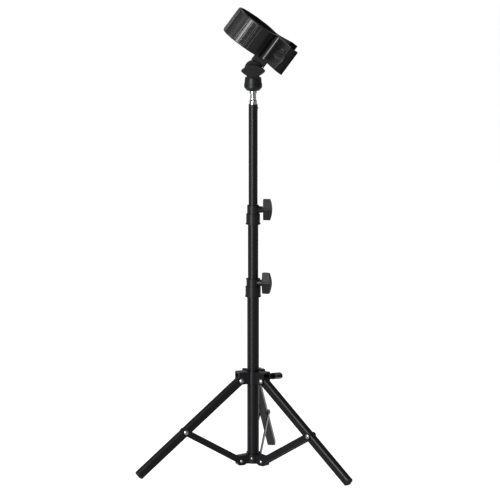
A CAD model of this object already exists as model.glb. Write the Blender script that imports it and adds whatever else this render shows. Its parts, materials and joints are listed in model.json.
import json
import math

import bmesh
import bpy
from mathutils import Matrix, Vector

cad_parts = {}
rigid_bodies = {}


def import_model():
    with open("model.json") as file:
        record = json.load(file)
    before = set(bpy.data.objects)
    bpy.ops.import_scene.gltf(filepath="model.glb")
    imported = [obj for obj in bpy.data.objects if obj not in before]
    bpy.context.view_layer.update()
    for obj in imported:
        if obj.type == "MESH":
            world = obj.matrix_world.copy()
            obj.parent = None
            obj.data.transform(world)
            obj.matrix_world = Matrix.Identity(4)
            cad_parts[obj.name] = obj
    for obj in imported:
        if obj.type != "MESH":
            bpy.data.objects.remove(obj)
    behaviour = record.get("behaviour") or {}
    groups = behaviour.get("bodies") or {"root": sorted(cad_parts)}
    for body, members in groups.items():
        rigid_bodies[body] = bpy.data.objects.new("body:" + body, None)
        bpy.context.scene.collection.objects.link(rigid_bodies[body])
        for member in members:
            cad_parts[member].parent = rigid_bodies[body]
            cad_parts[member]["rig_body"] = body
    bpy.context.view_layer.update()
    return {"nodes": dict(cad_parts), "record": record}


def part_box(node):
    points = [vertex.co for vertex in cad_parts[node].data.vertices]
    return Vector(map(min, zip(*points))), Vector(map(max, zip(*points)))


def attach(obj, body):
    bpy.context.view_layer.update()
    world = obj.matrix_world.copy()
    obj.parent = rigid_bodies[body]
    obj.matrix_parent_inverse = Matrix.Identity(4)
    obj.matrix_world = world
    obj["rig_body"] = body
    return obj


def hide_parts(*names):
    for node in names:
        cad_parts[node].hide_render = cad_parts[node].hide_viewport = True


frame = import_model()
mm = 0.001

# ---------------------------------------------------------------- floor, light and camera
# The stand is seen on a plain white floor from far off, a little above its middle. A tall soft
# box in front draws the long highlight on each tube, and two more light the side and the top.


def linear(code):
    """An sRGB hex colour as linear RGBA."""
    parts = [int(code[i : i + 2], 16) / 255 for i in (0, 2, 4)]
    return [c / 12.92 if c <= 0.04045 else ((c + 0.055) / 1.055) ** 2.4 for c in parts] + [1.0]


def add(tree, kind, inputs=(), **settings):
    """Add a node. An input given as a socket is linked, and any other value is set."""
    node = tree.nodes.new(kind)
    for key, value in settings.items():
        setattr(node, key, value)
    for key, value in dict(inputs).items():
        if isinstance(value, bpy.types.NodeSocket):
            tree.links.new(value, node.inputs[key])
        else:
            node.inputs[key].default_value = value
    return node


def link_object(name, data):
    """Make an object and put it in the scene."""
    obj = bpy.data.objects.new(name, data)
    bpy.context.scene.collection.objects.link(obj)
    return obj


floor_half = 14.0  # metres, past the horizon of the view
floor_z = -0.5 * mm
floor_mesh = bpy.data.meshes.new("floor")
corners = [
    (-floor_half, -floor_half),
    (floor_half, -floor_half),
    (floor_half, floor_half),
    (-floor_half, floor_half),
]
floor_mesh.from_pydata([(x, y, floor_z) for x, y in corners], [], [(0, 1, 2, 3)])
floor = link_object("floor", floor_mesh)

# Backlit white paper: its own glow keeps it even, so that the boxes leave no bright patch on it.
paper = bpy.data.materials.new("white_paper")
paper.use_nodes = True
paper_shader = paper.node_tree.nodes["Principled BSDF"]
paper_shader.inputs["Base Color"].default_value = linear("6E6E6E")
paper_shader.inputs["Roughness"].default_value = 0.9
paper_shader.inputs["Emission Color"].default_value = linear("FFFFFF")
paper_shader.inputs["Emission Strength"].default_value = 0.9
floor_mesh.materials.append(paper)

world = bpy.data.worlds.new("sky")
world.use_nodes = True
world.node_tree.nodes["Background"].inputs["Color"].default_value = linear("F4F6F8")
world.node_tree.nodes["Background"].inputs["Strength"].default_value = 0.5
bpy.context.scene.world = world
bpy.context.scene.view_settings.view_transform = "Standard"


def soft_box(name, place, aim, width, height, watts):
    """A rectangular studio light, in metres, turned to face a point."""
    light = bpy.data.lights.new(name, "AREA")
    light.shape = "RECTANGLE"
    light.size = width
    light.size_y = height
    light.energy = watts
    lamp = link_object(name, light)
    lamp.location = place
    lamp.rotation_mode = "QUATERNION"
    lamp.rotation_quaternion = (Vector(aim) - Vector(place)).to_track_quat("-Z", "Y")


soft_box("key_box", (-1.6, -2.8, 1.1), (0, 0, 0.6), 0.5, 2.2, 400)
soft_box("side_box", (-2.9, -0.8, 2.0), (0, 0, 0.7), 0.7, 1.2, 38)
soft_box("top_box", (-0.7, 0.9, 3.0), (0, 0, 0.6), 1.6, 1.0, 60)

look_down = math.radians(9.87)
distance = 12.0
camera_aim = Vector((-0.0065, 0, 0.468))
camera_data = bpy.data.cameras.new("camera")
camera_data.lens = 413.4
camera_data.sensor_width = 36.0
camera_data.clip_end = 100.0
camera = link_object("camera", camera_data)
camera.location = camera_aim + Vector((0, -math.cos(look_down), math.sin(look_down))) * distance
camera.rotation_euler = (math.radians(90) - look_down, 0, 0)
bpy.context.scene.camera = camera

# ---------------------------------------------------------------- column tubes
# Three welded steel tubes, each sliding in the one below, black powder coat. The coat is
# satin: soft-edged highlights, with a faint orange peel about a millimetre across.
patches_per_metre = 28.0
patch_roughness = 0.12  # how far the patches change the roughness, as a share of it
corner_angle = math.radians(38)
edge_angle = math.radians(32)
flat_angle = math.radians(0.8)
merge_distance = 0.002 * mm


def surface(name, colour, roughness, grain, relief, metallic=0.0, mottle=0.06, sheen=0.2):
    """A finish: grain is its texture's size in mm, relief its depth in mm, mottle its patchiness."""
    material = bpy.data.materials.new(name)
    material.use_nodes = True
    tree = material.node_tree
    shader = tree.nodes["Principled BSDF"]
    where = add(tree, "ShaderNodeTexCoord").outputs["Object"]
    fine = add(tree, "ShaderNodeTexNoise", {"Vector": where, "Scale": 1 / (grain * mm), "Detail": 3.0})
    patches = add(tree, "ShaderNodeTexNoise", {"Vector": where, "Scale": patches_per_metre, "Detail": 4.0})
    base = linear(colour)
    light = [min(1.0, c * (1 + mottle)) for c in base[:3]] + [1.0]
    dark = [c * (1 - mottle) for c in base[:3]] + [1.0]
    factor, dark_colour, light_colour = 0, 6, 7  # the colour mix's sockets, whose names repeat
    mixed = 2
    tint = add(
        tree,
        "ShaderNodeMix",
        {factor: patches.outputs["Fac"], dark_colour: dark, light_colour: light},
        data_type="RGBA",
    )
    tree.links.new(tint.outputs[mixed], shader.inputs["Base Color"])
    least = roughness * (1 - patch_roughness)
    most = roughness * (1 + patch_roughness)
    spread = {"Value": patches.outputs["Fac"], "To Min": least, "To Max": most}
    rough = add(tree, "ShaderNodeMapRange", spread)
    tree.links.new(rough.outputs["Result"], shader.inputs["Roughness"])
    raised = {"Height": fine.outputs["Fac"], "Strength": 1.0, "Distance": relief * mm}
    bump = add(tree, "ShaderNodeBump", raised)
    tree.links.new(bump.outputs["Normal"], shader.inputs["Normal"])
    shader.inputs["Metallic"].default_value = metallic
    if not metallic:
        shader.inputs["Specular IOR Level"].default_value = sheen
    return material


def plain_mesh(obj):
    """The object's mesh with its modifiers worked in."""
    graph = bpy.context.evaluated_depsgraph_get()
    return bpy.data.meshes.new_from_object(obj.evaluated_get(graph))


def finished(name, mesh, material, body, slot, *nodes):
    """Make the piece's object, shade it smooth up to its corners, and set it on its body."""
    mesh.materials.clear()
    mesh.materials.append(material)
    mesh.shade_smooth()
    mesh.set_sharp_from_angle(angle=corner_angle)
    piece = link_object(name, mesh)
    piece.modifiers.new("normals", "WEIGHTED_NORMAL").keep_sharp = True
    smoothed = plain_mesh(piece)
    piece.modifiers.clear()
    piece.data = smoothed
    smoothed.name = name
    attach(piece, body)
    if nodes:
        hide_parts(*nodes)
    return piece


def broken_edges(mesh, radius, steps=2):
    """Round a mesh's sharp edges to a radius in mm."""
    block = link_object("block", mesh)
    bevel = block.modifiers.new("edges", "BEVEL")
    bevel.width = radius * mm
    bevel.segments = steps
    bevel.limit_method = "ANGLE"
    bevel.angle_limit = edge_angle
    bevel.use_clamp_overlap = True
    rounded = plain_mesh(block)
    bpy.data.objects.remove(block)
    return rounded


def from_cad(node, material, radius, steps=2):
    """The CAD piece's own shape with its edges broken, standing for that node."""
    source = frame["nodes"][node]
    record = next(part for part in frame["record"]["subparts"] if part["node"] == node)
    mesh = source.data.copy()
    work = bmesh.new()
    work.from_mesh(mesh)
    bmesh.ops.remove_doubles(work, verts=work.verts, dist=merge_distance)
    bmesh.ops.dissolve_limit(work, angle_limit=flat_angle, verts=work.verts, edges=work.edges)
    work.to_mesh(mesh)
    work.free()
    if "custom_normal" in mesh.attributes:
        mesh.attributes.remove(mesh.attributes["custom_normal"])
    rounded = broken_edges(mesh, radius, steps)
    return finished(node + "_made", rounded, material, source["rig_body"], record["material_slot"], node)


powder_coat = surface("satin_black_powder_coat", "050506", 0.33, 1.1, 0.006, sheen=0.08)
for node in ("lower_tube", "middle_tube", "top_tube"):
    from_cad(node, powder_coat, 0.25)

# ---------------------------------------------------------------- collars, plugs and bushes
# Glass-filled nylon mouldings pressed on and into the tubes' ends. The mould's spark-eroded
# grain gives them a softer highlight than the tubes have.
nylon = surface("moulded_black_nylon", "070707", 0.4, 0.7, 0.01, sheen=0.08)
for node in ("lower_collar", "upper_collar"):
    from_cad(node, nylon, 0.45, 3)
for node in ("tube_end_plug", "middle_tube_bush", "top_tube_bush"):
    from_cad(node, nylon, 0.3)

# ---------------------------------------------------------------- brass nuts and bearing sleeve
# Turned brass, pressed into the mouldings: warm metal with fine turning marks. The nuts take
# the knobs' screws and the sleeve turns on the stud.
brass = surface("turned_brass", "B8944E", 0.3, 0.4, 0.004, metallic=1.0)
for node in ("lower_lock_nut", "upper_lock_nut", "crown_lock_nut", "swivel_sleeve", "tilt_knob_nut"):
    from_cad(node, brass, 0.25)

# ---------------------------------------------------------------- T-knobs and their screws
# Nylon wings, bowed in front, moulded round the head of an M6 screw. The screw is zinc
# plated: a dull bright metal that mirrors softly.
zinc = surface("bright_zinc_plate", "6C6C6A", 0.36, 0.5, 0.004, metallic=1.0, mottle=0.08)
for node in ("lower_knob", "upper_knob", "crown_knob"):
    from_cad(node, nylon, 1.1, 3)
    from_cad(node + "_screw", zinc, 0.3)

# ---------------------------------------------------------------- legs and feet
# D-section steel tubes, powder coated, with a nylon plug at the pivot. The foot cap is
# moulded rubber, pushed on: matt, with hardly any highlight.
rubber = surface("moulded_rubber", "060606", 0.7, 0.8, 0.02, sheen=0.1)
for side in ("back", "left", "right"):
    from_cad("leg_" + side, powder_coat, 0.3)
    from_cad("pivot_plug_" + side, nylon, 0.3)
    from_cad("foot_cap_" + side, rubber, 0.5)

# ---------------------------------------------------------------- braces and their rivets
# Pairs of punched steel bars, powder coated, one each side of a leg. They turn on bright
# domed rivets.
for side in ("back", "left", "right"):
    from_cad("brace_" + side, powder_coat, 0.3)
    from_cad("brace_rivets_" + side, zinc, 0.15)

# ---------------------------------------------------------------- crown
# Three steel clevises round a sleeve that slides on the lower tube, powder coated. Each holds
# a leg on a domed bolt with a cap nut.
from_cad("crown", powder_coat, 0.5, 3)
for node in ("crown_bolts", "crown_cap_nuts"):
    from_cad(node, zinc, 0.15)

# ---------------------------------------------------------------- brace hub
# Three-armed hub, powder coated, held to the foot of the lower tube by three screws. The
# braces turn on a rivet in each arm.
from_cad("brace_hub", powder_coat, 0.5, 3)
for node in ("hub_rivets", "hub_screws"):
    from_cad(node, zinc, 0.15)

# ---------------------------------------------------------------- spigot
# Turned steel, chromium plated: a mirror with a trace of turning. A rivet through the top
# tube holds it.
chrome = surface("bright_chrome", "6E7073", 0.16, 0.3, 0.002, metallic=1.0, mottle=0.03)
from_cad("spigot", chrome, 0.3)
from_cad("spigot_rivet", zinc, 0.15)

# ---------------------------------------------------------------- head base, bracket, bolt and knob
# Nylon mouldings: the base swivels on the stud and the bracket tilts between its ears. A
# zinc-plated M8 bolt with a washer goes through both, and a lens-shaped nylon knob tightens it.
from_cad("head_base", nylon, 0.6, 3)
from_cad("tilt_bracket", nylon, 0.7, 3)
for node in ("tilt_bolt", "tilt_washer"):
    from_cad(node, zinc, 0.25)
from_cad("tilt_knob", nylon, 0.5, 3)

# ---------------------------------------------------------------- clip halves
# Two mirrored springy half shells in black ABS: round jaw, pinched neck and flared finger
# end. Each is one wall swept round its section, with rolled rims and knuckles on the pin.
clip_plastic = surface("satin_moulded_abs", "060606", 0.34, 0.6, 0.006, sheen=0.1)
tilt_axis_z = 849.23
along_u = Vector((0.80696, 0, -0.59061))
along_v = Vector((0.59061, 0, 0.80696))
along_w = Vector((0, -1, 0))
clip_low = 30.0
clip_width = 58.5
clip_top = clip_low + clip_width
wall = 3.5
jaw_radius = 48.4
jaw_axis_u = -50.5
jaw_angles = (179.6, 35)  # degrees, from the tip to where the neck starts
pinch = Vector((-2.4, 10.4))
pinch_round = 8.0
crest = Vector((31.5, 47.0))
curl_radius = 14.0
curl_turn = 90
line_step = 0.5


def clip_point(u, v, w):
    """A point of the clip, in mm along its own axes from the tilt axis."""
    return (Vector((0, 0, tilt_axis_z)) + along_u * u + along_v * v + along_w * w) * mm


def arc_points(centre, radius, start, end):
    """Points along an arc, in mm and degrees."""
    count = max(2, round(abs(math.radians(end - start)) * radius / line_step))
    angles = [math.radians(start + (end - start) * i / count) for i in range(count + 1)]
    return [Vector((centre[0] + radius * math.cos(a), centre[1] + radius * math.sin(a))) for a in angles]


def bearing(centre, point):
    """The direction of a point from a centre, in degrees."""
    return math.degrees(math.atan2(point.y - centre.y, point.x - centre.x))


def outer_line():
    """The outside of one half from jaw tip to finger end, as points evenly spaced in mm."""
    line = arc_points((jaw_axis_u, 0), jaw_radius, *jaw_angles)
    down = (pinch - line[-1]).normalized()
    out = (crest - pinch).normalized()
    turn = down.angle(out)
    start = pinch - down * pinch_round * math.tan(turn / 2)
    centre = start + Vector((-down.y, down.x)) * pinch_round
    first = bearing(centre, start)
    line += arc_points(centre, pinch_round, first, first + math.degrees(turn))
    centre = crest + Vector((out.y, -out.x)) * curl_radius
    first = bearing(centre, crest)
    line += arc_points(centre, curl_radius, first, first - curl_turn)
    spaced = [line[0]]
    ahead = line_step
    for a, b in zip(line, line[1:]):
        length = (b - a).length
        while length >= ahead > 0:
            spaced.append(a.lerp(b, ahead / length))
            ahead += line_step
        ahead -= length
    return spaced


def smooth_step(low, high, x):
    """Rise smoothly from 0 at low to 1 at high."""
    t = min(1.0, max(0.0, (x - low) / (high - low)))
    return t * t * (3 - 2 * t)


# The outside's relief. Places along the outer line (s) and up the clip (v) are in mm.
grip_start = 183.2
grip_bulge = 4.6
grip_bulge_v = 27.5
grip_bulge_spread = 10.5
grip_sunk = 0.8
pad_s = 171.8
pad_v = clip_width / 2
pad_half_length = 18.5
pad_half_width = 15.5
pad_raise = 1.1
pad_dish = 0.6
grooves = ((8.4, 1.0), (15.5, 1.2), (54.3, 0.9), (63.2, 0.9), (76.8, 0.9))  # place, half width
groove_depth = 1.1
fluting = ((22.0, 37.0, 0.16), (65.0, 75.5, 0.3))  # from, to, height
flute_pitch = 2.0


def grip_starts(v):
    """Where the finger end's grip begins along the outer line: it bulges round the pad."""
    return grip_start + grip_bulge * math.exp(-(((v - grip_bulge_v) / grip_bulge_spread) ** 2))


def relief(s, v):
    """Height of the outside over the plain wall, in mm."""
    in_grip = smooth_step(0, 1.0, s - grip_starts(v))
    pad = math.hypot((s - pad_s) / pad_half_length, (v - pad_v) / pad_half_width)
    height = -grip_sunk * in_grip
    height += pad_raise * (1 - smooth_step(0.84, 1.0, pad)) * (1 - in_grip)
    height -= pad_dish * (1 - smooth_step(0.0, 0.9, pad)) * (1 - in_grip)
    for groove, half in grooves:
        height -= groove_depth * (1 - smooth_step(half * 0.4, half, abs(s - groove)))
    for start, end, rise in fluting:
        if start < s < end:
            height += rise * math.sin(2 * math.pi * (s - start) / flute_pitch)
    return height


rim = 1.7
inner_edge = 0.5
end_round = 0.9
half_gap = 0.15
outside_steps = 64
inside_steps = 8
rim_steps = 6


def wall_section():
    """The wall's closed section: place up the clip, height over the outside, and if it's outside."""
    section = []
    for i in range(outside_steps + 1):
        section.append((clip_low + rim + (clip_width - 2 * rim) * i / outside_steps, 0.0, True))
    for i in range(1, rim_steps + 1):
        a = math.radians(90 * i / rim_steps)
        section.append((clip_top - rim + rim * math.sin(a), rim * (math.cos(a) - 1), False))
    section.append((clip_top, inner_edge - wall, False))
    section.append((clip_top - inner_edge, -wall, False))
    for i in range(1, inside_steps):
        section.append((clip_low + clip_width * (inside_steps - i) / inside_steps, -wall, False))
    section.append((clip_low + inner_edge, -wall, False))
    section.append((clip_low, inner_edge - wall, False))
    for i in range(rim_steps):
        a = math.radians(90 * i / rim_steps)
        section.append((clip_low + rim - rim * math.cos(a), rim * (math.sin(a) - 1), False))
    return section


def half_shell(side):
    """One half as a closed mesh. Side is 1 for the front half and -1 for the rear."""
    line = outer_line()
    section = wall_section()
    work = bmesh.new()
    grip = work.verts.layers.float.new("grip")
    rings = []
    last = len(line) - 1
    for k, point in enumerate(line):
        tangent = (line[min(k + 1, last)] - line[max(k - 1, 0)]).normalized()
        normal = Vector((-tangent.y, tangent.x))
        s = k * line_step
        near_end = min(s, (last - k) * line_step)
        shrink = 0.0
        if near_end < end_round:
            shrink = end_round - math.sqrt(end_round**2 - (end_round - near_end) ** 2)
        ring = []
        for v, height, outside in section:
            if outside:
                fade = smooth_step(0, 2.2, min(v - clip_low, clip_top - v) - rim)
                height += relief(s, v - clip_low) * fade
            height = max(min(height, -shrink), shrink - wall) if shrink else height
            v = max(min(v, clip_top - shrink), clip_low + shrink)
            place = point + normal * height
            vert = work.verts.new(clip_point(place.x, v, max(place.y, half_gap) * side))
            vert[grip] = smooth_step(0, 0.8, s - grip_starts(v - clip_low))
            ring.append(vert)
        rings.append(ring)
    count = len(section)
    for a, b in zip(rings, rings[1:]):
        for i in range(count):
            work.faces.new((a[i], a[(i + 1) % count], b[(i + 1) % count], b[i]))
    work.faces.new(rings[0])
    work.faces.new(rings[-1][::-1])
    bmesh.ops.triangulate(work, faces=[f for f in work.faces if len(f.verts) > 4])
    bmesh.ops.recalc_face_normals(work, faces=work.faces)
    mesh = bpy.data.meshes.new("half_shell")
    work.to_mesh(mesh)
    work.free()
    return mesh


# The finger end's grip is etched: rougher, darker, and stippled about a millimetre across.
stipple_size = 1.5
stipple_depth = 0.5
tree = clip_plastic.node_tree
shader = tree.nodes["Principled BSDF"]
grip_zone = add(tree, "ShaderNodeAttribute", attribute_name="grip").outputs["Fac"]
where = add(tree, "ShaderNodeTexCoord").outputs["Object"]
cells = add(tree, "ShaderNodeTexVoronoi", {"Vector": where, "Scale": 1 / (stipple_size * mm)})
stipple = add(tree, "ShaderNodeMath", {0: cells.outputs["Distance"], 1: grip_zone}, operation="MULTIPLY")
grain_normal = shader.inputs["Normal"].links[0].from_socket
height = {"Height": stipple.outputs["Value"], "Strength": 1.0, "Distance": stipple_depth * mm}
dimples = add(tree, "ShaderNodeBump", {**height, "Normal": grain_normal})
tree.links.new(dimples.outputs["Normal"], shader.inputs["Normal"])
plain_roughness = shader.inputs["Roughness"].links[0].from_socket
etched = add(tree, "ShaderNodeMapRange", {"Value": grip_zone, "To Min": plain_roughness, "To Max": 0.8})
tree.links.new(etched.outputs["Result"], shader.inputs["Roughness"])
gloss = add(tree, "ShaderNodeMapRange", {"Value": grip_zone, "To Min": 0.15, "To Max": 0.03})
tree.links.new(gloss.outputs["Result"], shader.inputs["Specular IOR Level"])

knuckle_radius = 6.8
knuckle_gap = 0.35
knuckle_length = 55.4 / 5
web_size = 9.0
web_u = -1.5
web_w = 10.5


def knuckles(name, body, side, slots):
    """Barrels round the pin with webs that reach the wall at the pinch."""
    work = bmesh.new()
    pin_axes = Matrix((along_u, along_w, along_v)).transposed().to_4x4()
    radius = knuckle_radius * mm
    length = knuckle_length * mm
    for index in slots:
        middle = clip_low + index * (knuckle_length + knuckle_gap) + knuckle_length / 2
        place = Matrix.Translation(clip_point(0, middle, 0)) @ pin_axes
        bmesh.ops.create_cone(
            work, cap_ends=True, segments=40, radius1=radius, radius2=radius, depth=length, matrix=place
        )
        web = Matrix.Translation(clip_point(web_u, middle, web_w * side)) @ pin_axes
        size = Matrix.Diagonal((web_size * mm, web_size * mm, length, 1.0))
        bmesh.ops.create_cube(work, size=1.0, matrix=web @ size)
    bmesh.ops.recalc_face_normals(work, faces=work.faces)
    mesh = bpy.data.meshes.new(name)
    work.to_mesh(mesh)
    work.free()
    finished(name, broken_edges(mesh, 0.4), clip_plastic, body, "clip_plastic", body)


halves = {"jaw_front": 1, "jaw_rear": -1}
pin_slots = {"jaw_front": (0, 4), "jaw_rear": (1, 3)}
for body, side in halves.items():
    finished(body + "_shell", half_shell(side), clip_plastic, body, "clip_plastic", body)
    knuckles(body + "_knuckles", body, side, pin_slots[body])

# ---------------------------------------------------------------- ribs on the jaws and finger pads
# Half-round ribs moulded along the outside of each jaw, and curved ridges on each finger pad.
# A tree sets copies of one bent round bar on points. A rib's bend is too slight to see.
straight = 20.0  # bend radius in metres that leaves a bar straight


def new_tree(name, inputs):
    """A geometry tree with a mesh of points to stand on and named inputs for its sizes."""
    tree = bpy.data.node_groups.new(name, "GeometryNodeTree")
    tree.interface.new_socket(name="Geometry", in_out="INPUT", socket_type="NodeSocketGeometry")
    for label in inputs:
        tree.interface.new_socket(name=label, in_out="INPUT", socket_type="NodeSocketFloat")
    tree.interface.new_socket(name="Turn", in_out="INPUT", socket_type="NodeSocketRotation")
    tree.interface.new_socket(name="Material", in_out="INPUT", socket_type="NodeSocketMaterial")
    tree.interface.new_socket(name="Geometry", in_out="OUTPUT", socket_type="NodeSocketGeometry")
    return tree, add(tree, "NodeGroupInput").outputs


def round_bar(tree, given, curve, thickness, sides):
    """Finish a tree: a round bar along the curve, copied to every point."""
    profile = add(tree, "GeometryNodeCurvePrimitiveCircle", {"Resolution": sides, "Radius": thickness})
    ends = {"Profile Curve": profile.outputs["Curve"], "Fill Caps": True}
    bar = add(tree, "GeometryNodeCurveToMesh", {"Curve": curve, **ends})
    points = add(tree, "GeometryNodeMeshToPoints", {"Mesh": given["Geometry"]})
    copied = {"Points": points.outputs["Points"], "Instance": bar.outputs["Mesh"], "Rotation": given["Turn"]}
    copies = add(tree, "GeometryNodeInstanceOnPoints", copied)
    real = add(tree, "GeometryNodeRealizeInstances", {"Geometry": copies.outputs["Instances"]})
    paint = {"Geometry": real.outputs["Geometry"], "Material": given["Material"]}
    painted = add(tree, "GeometryNodeSetMaterial", paint)
    add(tree, "NodeGroupOutput", {"Geometry": painted.outputs["Geometry"]})
    return tree


def bent_bar_tree():
    """A bent round bar, its middle at the point: bend radius, angle swept, bar radius."""
    tree, given = new_tree("bars_on_points", ("Bend radius", "Sweep", "Bar radius"))
    half = add(tree, "ShaderNodeMath", {0: given["Sweep"], 1: -0.5}, operation="MULTIPLY")
    swept = {"Start Angle": half.outputs["Value"], "Sweep Angle": given["Sweep"]}
    arc = add(tree, "GeometryNodeCurveArc", {"Resolution": 24, "Radius": given["Bend radius"], **swept})
    back = add(tree, "ShaderNodeMath", {0: given["Bend radius"], 1: -1.0}, operation="MULTIPLY")
    shift = add(tree, "ShaderNodeCombineXYZ", {"X": back.outputs["Value"]})
    moved = {"Geometry": arc.outputs["Curve"], "Translation": shift.outputs["Vector"]}
    centred = add(tree, "GeometryNodeTransform", moved)
    return round_bar(tree, given, centred.outputs["Geometry"], given["Bar radius"], 10)


def grown(name, tree, points, values, body, slot, *nodes):
    """Run a tree on points, keep its mesh, and set it on its body."""
    mesh = bpy.data.meshes.new(name)
    mesh.from_pydata(points, [], [])
    seedling = link_object(name + "_points", mesh)
    modifier = seedling.modifiers.new("grow", "NODES")
    modifier.node_group = tree
    for item in tree.interface.items_tree:
        if item.in_out == "INPUT" and item.name in values:
            modifier[item.identifier] = values[item.name]
    made = plain_mesh(seedling)
    bpy.data.objects.remove(seedling)
    return finished(name, made, values["Material"], body, slot, *nodes)


def turned_to(x_axis, y_axis):
    """Euler angles that turn a bar's bend to face along x and its length along y."""
    x_axis = x_axis.normalized()
    y_axis = y_axis.normalized()
    return Matrix((x_axis, y_axis, x_axis.cross(y_axis))).transposed().to_euler()


rib_places = (4.4, 12.0, 18.6, 78.5, 86.0)
rib_radius = 0.95
rib_short = 6.0
ridge_count = 7
ridge_first = 27.5
ridge_pitch = 3.3
ridge_climb = 0.9
ridge_rise = 0.45
ridge_slant = 0.45
ridge_bend = 14.0
ridge_sweep = 1.05
ridge_radius = 0.8
handle_run = Vector((0.6795, 0.7337))

bars = bent_bar_tree()
line = outer_line()
for body, side in halves.items():
    places = []
    for s in rib_places:
        spot = line[round(s / line_step)]
        places.append(clip_point(spot.x, clip_low + clip_width / 2, spot.y * side))
    ribs = {
        "Bend radius": straight,
        "Sweep": (clip_width - rib_short) * mm / straight,
        "Bar radius": rib_radius * mm,
        "Turn": turned_to(along_w, along_v),
        "Material": clip_plastic,
    }
    grown(body + "_ribs", bars, places, ribs, body, "clip_plastic", body)

    places = []
    for i in range(ridge_count):
        place = pinch + handle_run * (ridge_first + ridge_pitch * i)
        place += Vector((-handle_run.y, handle_run.x)) * ridge_rise
        up = clip_low + pad_v + ridge_climb * (i - ridge_count // 2)
        places.append(clip_point(place.x, up, place.y * side))
    run = along_u * handle_run.x + along_w * (handle_run.y * side)
    across_pad = (run + along_v * ridge_slant).normalized()
    facing = run.cross(along_v)
    ridges = {
        "Bend radius": ridge_bend * mm,
        "Sweep": ridge_sweep,
        "Bar radius": ridge_radius * mm,
        "Turn": turned_to(across_pad, facing.cross(across_pad)),
        "Material": clip_plastic,
    }
    grown(body + "_ridges", bars, places, ridges, body, "clip_plastic", body)

# ---------------------------------------------------------------- tilt knob's arcs
# Fine nylon arcs moulded across the face of the tilt knob, where they catch the light. The
# tree that makes the ribs makes them.
arc_count = 8
arc_lowest = -7.5
arc_pitch = 2.0
arc_bend = 45.0
arc_radius = 0.3
arc_proud = 0.1
face_half_span = 21.0
face_half_height = 12.3
face_margin = 2.5

knob_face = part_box("tilt_knob")[0].y
for i in range(arc_count):
    rise = arc_lowest + arc_pitch * i
    half_chord = face_half_span * math.sqrt(1 - (rise / face_half_height) ** 2) - face_margin
    arc = {
        "Bend radius": arc_bend * mm,
        "Sweep": 2 * half_chord / arc_bend,
        "Bar radius": arc_radius * mm,
        "Turn": turned_to(Vector((0, 0, 1)), Vector((1, 0, 0))),
        "Material": nylon,
    }
    place = (0, knob_face + arc_proud * mm, (tilt_axis_z + rise) * mm)
    grown("tilt_knob_arc_" + str(i), bars, [place], arc, "tilt_knob", "moulded_plastic")

# ---------------------------------------------------------------- linings, pin and cap
# A strip of moulded rubber glued inside each jaw. A zinc-plated steel pin runs through the
# knuckles, held by a push-on cap.
for node in ("jaw_front_lining", "jaw_rear_lining"):
    from_cad(node, rubber, 0.3)
for node in ("jaw_pin", "pin_cap"):
    from_cad(node, zinc, 0.25)

# ---------------------------------------------------------------- torsion spring
# Bright spring wire coiled round the pin between the knuckles. A tree winds the coil, and its
# two legs are bars that lie inside the handles and go with them.
wire_radius = 0.9
coil_radius = 4.5
coil_turns = 5.0
coil_pitch = 1.6
coil_low = 53.1
leg_lean = math.radians(37.8)
leg_middle = 15.0
leg_length = 28.0


def coil_tree():
    """A round wire wound into a coil on the point: coil radius, height, turns, wire radius."""
    tree, given = new_tree("wound_coil", ("Coil radius", "Height", "Turns", "Wire radius"))
    wound = {"Rotations": given["Turns"], "Height": given["Height"]}
    radii = {"Start Radius": given["Coil radius"], "End Radius": given["Coil radius"]}
    spiral = add(tree, "GeometryNodeCurveSpiral", {"Resolution": 32, **wound, **radii})
    return round_bar(tree, given, spiral.outputs["Curve"], given["Wire radius"], 12)


coil = {
    "Coil radius": coil_radius * mm,
    "Height": coil_pitch * coil_turns * mm,
    "Turns": coil_turns,
    "Wire radius": wire_radius * mm,
    "Turn": turned_to(along_u, along_w * -1),
    "Material": zinc,
}
places = [clip_point(0, coil_low, 0)]
grown("spring_coil", coil_tree(), places, coil, "bracket", "spring_steel", "torsion_spring")
leg_heights = {"jaw_front": coil_low + 8.2, "jaw_rear": coil_low - 0.2}
for body, side in halves.items():
    run = along_u * math.cos(leg_lean) + along_w * (math.sin(leg_lean) * side)
    reach = leg_middle * math.cos(leg_lean)
    out = (coil_radius + leg_middle * math.sin(leg_lean)) * side
    leg = {
        "Bend radius": straight,
        "Sweep": leg_length * mm / straight,
        "Bar radius": wire_radius * mm,
        "Turn": turned_to(along_v, run),
        "Material": zinc,
    }
    places = [clip_point(reach, leg_heights[body], out)]
    grown(body + "_spring_leg", bars, places, leg, body, "spring_steel", "torsion_spring")
